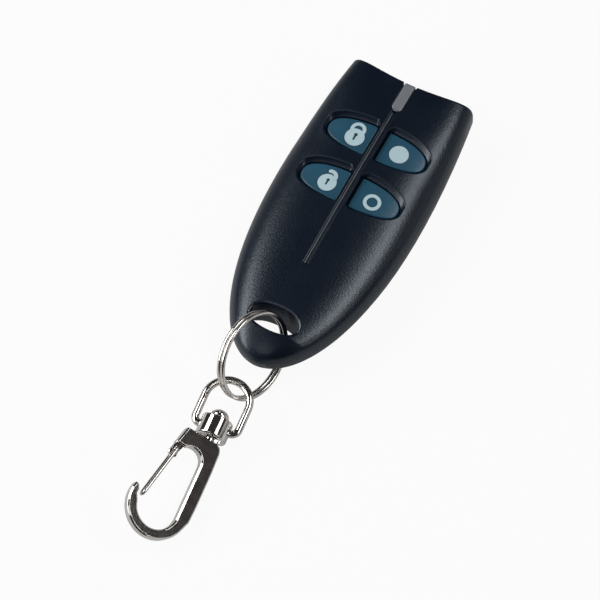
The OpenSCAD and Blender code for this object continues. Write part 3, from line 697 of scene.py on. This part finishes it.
# icons are printed on the keys: circles are x, y and radius, a bow has an outer and an inner radius
iconShape = {"lift": 0.03, "edge": 0.16, "step": 0.3, "room": 0.12, "stemShare": 0.55,
             "disc": (5.3, 15.12, 2.05), "circle": (5.5, 2.5, 1.9, 1.14),
             "lock": {"body": (-4.78, 14.62, 2.1), "bow": (-4.93, 16.6, 1.7, 0.92),
                      "hole": (-4.8, 15.26, 0.4), "stem": 1.4},
             "unlock": {"body": (-4.91, 2.45, 2.0), "bow": (-4.99, 4.03, 1.62, 0.8), "bowTurn": (-35, 112),
                        "edgeTurn": 2, "hole": (-4.97, 3.07, 0.36), "stem": 1.25}}


# a flat shape laid on a key's face
def decal(name, body, material, loops, lift):
    low, high, step = loops[0].min(0), loops[0].max(0), iconShape["step"]
    columns, rows = np.arange(low[0], high[0], step), np.arange(low[1], high[1], step)
    grid = np.stack(np.meshgrid(columns, rows), -1).reshape(-1, 2)
    keep = inside(grid, loops[0])
    for hole in loops[1:]:
        keep &= ~inside(grid, hole)
    for loop in loops:
        keep &= clearOf(grid, loop, iconShape["room"])
    net, faces, _ = fillNet(loops, grid[keep])
    points = np.column_stack([net, faceZ(net[:, 0], net[:, 1]) - keyShape["drop"] + lift])
    return meshPiece(name, points, faces, body, "key_plastic", material)


def printIcon(name, body, shape, edge):
    decal(name + "_edge", body, finishes["icon edge"], edge, iconShape["lift"] / 2)
    decal(name, body, finishes["icon"], shape, iconShape["lift"])


def circle(x, y, r): return arc(x, y, r, 0, 360)[:-1]


# the way from circle a to circle b, and half the angle on a between their crossings
def circleMeet(a, b):
    away = math.hypot(b[0] - a[0], b[1] - a[1])
    toward = math.degrees(math.atan2(b[1] - a[1], b[0] - a[0]))
    half = math.degrees(math.acos((a[2] ** 2 + away ** 2 - b[2] ** 2) / (2 * a[2] * away)))
    return toward, half


def joinedCircles(a, b):
    (toA, halfA), (toB, halfB) = circleMeet(a, b), circleMeet(b, a)
    return np.concatenate([arc(*a, toA + halfA, toA + 360 - halfA, 80)[:-1],
                           arc(*b, toB + halfB, toB + 360 - halfB, 60)[:-1]])


def cutCircle(a, b):
    (toA, halfA), (toB, halfB) = circleMeet(a, b), circleMeet(b, a)
    return np.concatenate([arc(*a, toA + halfA, toA + 360 - halfA, 40)[:-1],
                           arc(*b, toB - halfB, toB + halfB, 24)[::-1][:-1]])


def keyhole(x, y, r, stem):
    side = iconShape["stemShare"] * r
    turn = math.degrees(math.asin(side / r))
    return np.concatenate([arc(x, y, r, -90 + turn, 270 - turn, 24), arc(x, y - stem + side, side, 180, 360, 10)])


def openBow(x, y, outer, inner, start, end):
    middle, half = (outer + inner) / 2, (outer - inner) / 2
    tip = math.radians(end)
    cap = arc(x + middle * math.cos(tip), y + middle * math.sin(tip), half, end, end + 180, 10)[1:-1]
    return np.concatenate([arc(x, y, outer, start, end, 30), cap, arc(x, y, inner, end, start, 30)])


def icons():
    e = iconShape["edge"]
    x, y, r = iconShape["disc"]
    printIcon("icon_disc", "key_disc", [circle(x, y, r)], [circle(x, y, r + e)])
    x, y, r, hole = iconShape["circle"]
    printIcon("icon_circle", "key_circle", [circle(x, y, r), circle(x, y, hole)],
              [circle(x, y, r + e), circle(x, y, hole - e)])
    shape = iconShape["lock"]
    body, (x, y, outer, inner) = shape["body"], shape["bow"]
    grown = (*body[:2], body[2] + e)
    hole = keyhole(*shape["hole"], shape["stem"])
    printIcon("icon_lock", "key_lock", [joinedCircles(body, (x, y, outer)), cutCircle((x, y, inner), body), hole],
              [joinedCircles(grown, (x, y, outer + e)), cutCircle((x, y, inner - e), grown)])
    shape = iconShape["unlock"]
    body, (x, y, outer, inner), (start, end) = shape["body"], shape["bow"], shape["bowTurn"]
    printIcon("icon_unlock", "key_unlock", [circle(*body), keyhole(*shape["hole"], shape["stem"])],
              [circle(*body[:2], body[2] + e)])
    printIcon("icon_unlock_bow", "key_unlock", [openBow(x, y, outer, inner, start, end)],
              [openBow(x, y, outer + e, inner - e, start, end + shape["edgeTurn"])])


icons()
print("icons printed")

# the ring stands in the nose slot; angles are in its own plane
ringPlace = {"radius": 9.2, "lean": 67.2, "turn": -9.9, "centre": (-0.35, -38.92, 9.17), "hang": -71.0,
             "split": 54.0, "pitch": 0.93, "step": 12.0, "endGap": 5.0, "stations": 400,
             "wireR": 0.44, "wireA": 0.455, "wireFull": 2.5, "wireSides": 32}
# the swivel hangs from the ring; edges of its barrel are steps of radius and height
swivel = {"slope": 4.5, "turn": 4.9, "roll": 30.8, "fromHang": (0.09, 6.66, 2.1),
          "eyeHalf": 4.7, "eyeReach": 10.45, "eyeWire": 0.8, "eyeSides": 24, "eyeFoot": -0.5, "eyeBend": 1.4,
          "eyeEnd": 1.6, "barrelR": 3.3, "barrelTop": 1.5, "barrelFoot": -2.8, "bore": 1.08,
          "recessR": 2.3, "recess": 1.1, "recessEdge": ((0.0, 0.15), (0.1, 0.0)),
          "footEdge": ((-0.3, 0.0), (-0.08, 0.07), (0.0, 0.25), (0.0, 0.32)),
          "topEdge": ((0.0, -0.37), (0.0, -0.3), (-0.1, -0.08), (-0.4, 0.0), (-0.5, 0.0))}


def turned(degrees, axis): return Matrix.Rotation(math.radians(degrees), 4, axis)


ringWorld = Matrix.Translation(ringPlace["centre"]) @ turned(ringPlace["turn"], "Z") @ turned(ringPlace["lean"], "Y")
hangTurn = math.radians(ringPlace["hang"])
hangAt = ringWorld @ (ringPlace["radius"] * Vector((math.cos(hangTurn), math.sin(hangTurn), 0)))
swivelWorld = (Matrix.Translation(hangAt - Vector(swivel["fromHang"])) @ turned(swivel["turn"], "Z")
               @ turned(swivel["slope"], "X"))
hookWorld = swivelWorld @ turned(swivel["roll"], "Y")


def placed(points, world):
    m = np.array(world)
    return np.asarray(points) @ m[:3, :3].T + m[:3, 3]


# two turns of wire, which step past each other opposite their ends
def splitRing():
    p = ringPlace
    ends = p["step"] + p["endGap"]
    turn = np.radians(np.linspace(ends, 720 - ends, p["stations"]))
    wind = p["pitch"] * (ease((np.degrees(turn) - 360 + p["step"]) / (2 * p["step"])) - 0.5)
    at = turn + math.radians(p["split"])
    path = np.stack([p["radius"] * np.cos(at), p["radius"] * np.sin(at), wind], 1)
    points, faces = sweep(path, oval(p["wireR"], p["wireA"], p["wireFull"], p["wireSides"]))
    piece = turnOutward(meshPiece("split_ring_wire", placed(points, ringWorld), faces, "ring", "spring_steel"))
    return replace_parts(piece, "split_ring")


def swivelEye():
    s = swivel
    half, reach, bend, foot, wire = s["eyeHalf"], s["eyeReach"], s["eyeBend"], s["eyeFoot"], s["eyeWire"]
    corner = arc(half - bend, foot + bend, bend, -90, 0, 12)
    top = arc(0, reach - half, half, 0, 180, 40)
    line = np.concatenate([[[s["eyeEnd"], foot]], corner, top, corner[::-1] * [-1, 1], [[-s["eyeEnd"], foot]]])
    points, faces = sweep(np.column_stack([line, np.zeros(len(line))]), oval(wire, wire, 2, s["eyeSides"]))
    loop = turnOutward(meshPiece("swivel_eye_loop", placed(points, swivelWorld), faces, "eye", "bright_metal"))
    low, high = s["barrelFoot"], s["barrelTop"]
    inner = (s["bore"], low + s["recess"])
    profile = [inner, (s["recessR"], low + s["recess"])]
    profile += [(s["recessR"] + a, low + b) for a, b in s["recessEdge"]]
    profile += [(s["barrelR"] + a, low + b) for a, b in s["footEdge"]]
    profile += [(s["barrelR"] + a, high + b) for a, b in s["topEdge"]]
    points, faces = lathe(profile + [(s["bore"], high), inner])
    turnOutward(meshPiece("swivel_barrel", placed(points, swivelWorld), faces, "eye", "bright_metal"))
    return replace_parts(loop, "swivel_eye")


splitRing()
swivelEye()
print("ring and swivel done")

# the hook lies in its own plane: across it, down from the barrel, and through its thickness;
# circles are across, down and radius; the claw is in shares of the bowl's radius
hook = {"shoulder": 3.3, "plateLeft": -5.42, "plateRight": 3.0, "corner": ((-1.5, 0.0), (-0.4, 0.6), (0.0, 1.6)),
        "spineOut": 3.1475, "spineLean": 0.14, "half": 1.1, "edge": 0.32, "spacing": 0.12, "rounds": 4, "earRounds": 2,
        "bowl": (-4.21, 20.8, 6.75), "bowlFrom": 20, "bowlIn": (-4.28, 20.96, 4.54), "arch": (-2.39, 9.27, 2.65),
        "claw": ((-0.9, -0.33), (-0.84, -0.29), (-0.77, -0.175), (-0.77, -0.1), (-0.795, -0.05)), "clawFoot": 0.16,
        "earTop": 7.25, "earTip": ((-6.96, 9.25), (-6.9, 9.9), (-5.8, 10.2)), "earRoot": ((-6.2, 6.6), (-4.4, 6.6)),
        "earHalf": 0.3, "earEdge": 0.12, "post": 1.0, "postFoot": 0.6, "headR": 1.95, "headFoot": 1.65, "headTop": 3.65,
        "headEdge": ((-0.3, 0.0), (-0.08, 0.08), (0.0, 0.3)), "domeR": 2.2}


def hookOutline():
    h = hook
    x, y, r = h["bowl"]
    ix, iy, ir = h["bowlIn"]
    ax, ay, ar = h["arch"]
    clawTurn = 180 + math.degrees(math.asin(-h["claw"][0][1]))
    footTurn = 180 - math.degrees(math.asin((y + h["clawFoot"] * r - iy) / ir))
    earTurn = -180 + math.degrees(math.asin((ay - h["earTop"]) / ar))
    tipX, tipY = h["earTip"][0]
    earX = h["plateLeft"] + (tipX - h["plateLeft"]) * (h["earTop"] - h["shoulder"]) / (tipY - h["shoulder"])
    corner = [(h["plateRight"] + a, h["shoulder"] + b) for a, b in h["corner"]]
    spine = [(h["spineOut"], ay), (h["spineOut"], y - r / 2), (h["spineOut"] - h["spineLean"], y)]
    claw = [(x + a * r, y + b * r) for a, b in h["claw"]]
    loop = np.concatenate([[(h["plateLeft"], h["shoulder"])], corner, spine, arc(x, y, r, h["bowlFrom"], clawTurn, 90),
                           claw, arc(ix, iy, ir, footTurn, 0, 70), arc(ax, ay, ar, 0, earTurn, 50),
                           [(earX, h["earTop"])]])
    return evenly(loop, h["rounds"], spacing=h["spacing"])


def earOutline():
    h = hook
    ax, ay, ar = h["arch"]
    endX, endY = h["earTip"][-1]
    endTurn = math.degrees(math.atan2(endY - ay, endX - ax)) - 360
    topTurn = -180 + math.degrees(math.asin((ay - h["earTop"]) / ar))
    left, right = h["earRoot"]
    loop = np.concatenate([[left], h["earTip"], arc(ax, ay, ar, endTurn, topTurn, 24), [right]])
    return evenly(loop, h["earRounds"], spacing=h["spacing"])


inset = {"first": 0.05, "tries": 10, "jump": 0.06, "nearShare": 0.94, "rounds": 12, "slack": 0.004}


# how far each point can move inward before the far side's edge is as near
def insetRoom(loop, inward, most):
    room = np.zeros(len(loop))
    for d in np.linspace(inset["first"], most, inset["tries"]):
        near = np.linalg.norm((loop + inward * d)[:, None] - loop[None], axis=2).min(1)
        room = np.where((near > inset["nearShare"] * d) & (room > d - inset["jump"]), d, room)
    for _ in range(inset["rounds"]):
        room = np.minimum(room, 0.5 * room + 0.25 * (np.roll(room, 1) + np.roll(room, -1)) + inset["slack"])
    return room


# chamfered edge of a plate: way inward, way down from the face, and lean of the surface
chamfer = [(0.0, 1.2, 0), (0.04, 0.99, 30), (0.14, 0.86, 45), (0.86, 0.14, 45), (0.97, 0.05, 60), (1.15, 0.0, 90)]


# a flat plate with that edge on both faces
def plate(name, loop, half, edge, body, slot, world):
    inward = leftOf(loop)
    if not inside(loop[:1] + inward[:1] * inset["first"], loop)[0]:
        inward = -inward
    widest, n = chamfer[-1][0], len(loop)
    room = insetRoom(loop, inward, widest * edge) / widest
    rings, normals = [], []
    for side, steps in ((-1, chamfer[::-1]), (1, chamfer)):
        for away, down, lean in steps:
            flat, out = loop + inward * (room * away)[:, None], -inward * math.cos(math.radians(lean))
            rings.append(np.column_stack([flat[:, 0], -flat[:, 1], np.full(n, side * (half - edge * down))]))
            normals.append(np.column_stack([out[:, 0], -out[:, 1], np.full(n, side * math.sin(math.radians(lean)))]))
    points, faces = strips(rings)
    normals = np.concatenate(normals)
    middle = faces[n * (len(chamfer) - 1)]          # on the flat wall between the two edges
    a, b, c = points[list(middle[:3])]
    if np.dot(np.cross(b - a, c - a), normals[middle[0]]) < 0:
        faces = [f[::-1] for f in faces]
    for ring, sign in ((rings[0], -1), (rings[-1], 1)):
        fill = delaunay_2d_cdt([Vector(p) for p in ring[:, :2]], [(i, (i + 1) % n) for i in range(n)], [], 1, 1e-7)
        base, face = len(points), np.array([(*p, ring[0, 2]) for p in fill[0]])
        points = np.concatenate([points, face])
        normals = np.concatenate([normals, np.tile((0, 0, sign), (len(face), 1))])
        for corners in fill[2]:
            a, b, c = (face[i, :2] for i in corners[:3])
            turn = np.sign((b[0] - a[0]) * (c[1] - a[1]) - (b[1] - a[1]) * (c[0] - a[0]))
            faces.append(tuple(base + i for i in (corners if turn == sign else corners[::-1])))
    spin = np.array(world)[:3, :3]
    return meshPiece(name, placed(points, world), faces, body, slot, normals=normals @ spin.T)


def snapHook():
    h = hook
    body = plate("hook_plate", hookOutline(), h["half"], h["edge"], "hook", "bright_metal", hookWorld)
    plate("hook_ear", earOutline(), h["earHalf"], h["earEdge"], "hook", "bright_metal", hookWorld)
    domeFrom = math.degrees(math.acos(h["headR"] / h["domeR"]))
    dome = arc(0, h["headTop"] - h["domeR"], h["domeR"], domeFrom + 2, 89, 12)
    edge = [(h["headR"] + a, h["headFoot"] + b) for a, b in h["headEdge"]]
    post = [(h["post"], -h["shoulder"] - h["postFoot"]), (h["post"], h["headFoot"] - 0.02)]
    points, faces = lathe([*post, *edge, *dome])
    turnOutward(meshPiece("hook_post", placed(points, hookWorld), faces, "hook", "bright_metal"))
    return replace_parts(body, "snap_hook")


snapHook()
print("snap hook done")


# the solids that show as they are
def dress(node, slot):
    piece = frame["nodes"][node]
    piece.data.materials.clear()
    piece.data.materials.append(finishes[slot])
    weld = piece.modifiers.new("weld", "WELD")
    weld.merge_threshold = 1e-6
    piece.data.polygons.foreach_set("use_smooth", [True] * len(piece.data.polygons))


slotOf = {s["node"]: s["material_slot"] for s in frame["record"]["subparts"]}
for node, slot in slotOf.items():
    dress(node, slot)
print("solids dressed:", len(slotOf))

# the point "at", in millimetres, stands at "pixel" in a picture of the given width
view = {"azimuth": 27.3, "elevation": 61.5, "distance": 0.8, "pixelsPerMm": 4.8, "image": 600, "at": (0, 0, -0.26),
        "pixel": (342.73, 227.88), "sensor": 36.0}


def makeCamera():
    a, e = math.radians(view["azimuth"]), math.radians(view["elevation"])
    back = Vector((math.sin(a) * math.cos(e), -math.cos(a) * math.cos(e), math.sin(e)))
    camera = bpy.data.objects.new("camera", bpy.data.cameras.new("camera"))
    bpy.context.scene.collection.objects.link(camera)
    camera.location = Vector(view["at"]) * mm + back * view["distance"]
    camera.rotation_euler = back.to_track_quat("Z", "Y").to_euler()
    data = camera.data
    data.sensor_width = view["sensor"]
    data.lens = view["sensor"] * view["distance"] / mm * view["pixelsPerMm"] / view["image"]
    data.shift_x = (view["image"] / 2 - view["pixel"][0]) / view["image"]
    data.shift_y = (view["pixel"][1] - view["image"] / 2) / view["image"]
    data.clip_start, data.clip_end = 0.01, 20
    bpy.context.scene.camera = camera


# "keep" is how much of the floor's own light and shadow the camera sees; metal mirrors some of its glow
studio = {"floorSize": 3.0, "floorZ": -0.0004, "floorWhite": 0.55, "floorRough": 0.7, "keep": 0.07, "mirrored": 0.1,
          "room": (0.042, 0.037, 0.037)}


def makeFloor():
    mesh = bpy.data.meshes.new("floor")
    s, z, white = studio["floorSize"], studio["floorZ"], studio["floorWhite"]
    mesh.from_pydata([(-s, -s, z), (s, -s, z), (s, s, z), (-s, s, z)], [], [(0, 1, 2, 3)])
    floor = bpy.data.objects.new("floor", mesh)
    bpy.context.scene.collection.objects.link(floor)
    finish = Finish("white table").set(Base_Color=(white, white, white, 1), Roughness=studio["floorRough"])
    seen, glossy, through = (finish.node("ShaderNodeLightPath", output=kind)
                             for kind in ("Is Camera Ray", "Is Glossy Ray", "Is Transmission Ray"))
    glow = finish.node("ShaderNodeEmission", {}, {"Color": (1, 1, 1, 1), "Strength": 1.0})
    glowShare = seen * (1 - studio["keep"]) + (glossy + through) * studio["mirrored"]
    table = Socket(finish.tree, finish.shader.outputs[0])
    mix = finish.node("ShaderNodeMixShader", {}, {0: glowShare, 1: table, 2: glow})
    finish.tree.links.new(mix.link, finish.tree.nodes["Material Output"].inputs["Surface"])
    mesh.materials.append(finish.material)


# strip boxes on both sides, with a weak fill and two weak cards; "along" is the way a box's long side runs
lights = {
    "left box": {"at": (-0.455, -0.1985, 0.3405), "along": (-0.1, -0.87, -0.49), "size": (0.8, 0.26), "watts": 4.4},
    "right box": {"at": (0.318, 0.131, 0.4945), "along": (0.62, -0.77, -0.14), "size": (0.56, 0.135), "watts": 1.72},
    "low right box": {"at": (0.517, -0.086, 0.293), "along": (0.3, -0.9, -0.3), "size": (0.3, 0.14), "watts": 0.25},
    "front fill": {"at": (-0.14, -0.38, 0.43), "along": (1, 0, 0), "size": (0.3, 0.24), "watts": 0.22},
    "right card": {"at": (0.48, 0.324, 0.165), "along": (-0.559, 0.829, 0), "size": (0.34, 0.26), "watts": 0.13},
    "left card": {"at": (-0.522, 0.278, 0.104), "along": (0.463, 0.87, 0), "size": (0.34, 0.18), "watts": 0.06},
}


def makeLights():
    for name, box in lights.items():
        data = bpy.data.lights.new(name, "AREA")
        data.shape = "RECTANGLE"
        data.size, data.size_y = box["size"]
        data.energy = box["watts"]
        lamp = bpy.data.objects.new(name, data)
        bpy.context.scene.collection.objects.link(lamp)
        lamp.location = box["at"]
        away, along = Vector(box["at"]).normalized(), Vector(box["along"])
        along = (along - along.dot(away) * away).normalized()
        lamp.rotation_euler = Matrix((along, away.cross(along), away)).transposed().to_euler()
    world = bpy.data.worlds.new("studio")
    world.use_nodes = True
    bpy.context.scene.world = world
    room = world.node_tree.nodes["Background"]
    room.inputs["Color"].default_value = (*studio["room"], 1)
    room.inputs["Strength"].default_value = 1.0


makeCamera()
makeFloor()
makeLights()
bpy.context.scene.view_settings.view_transform = "Standard"
print("camera, floor and light ready")
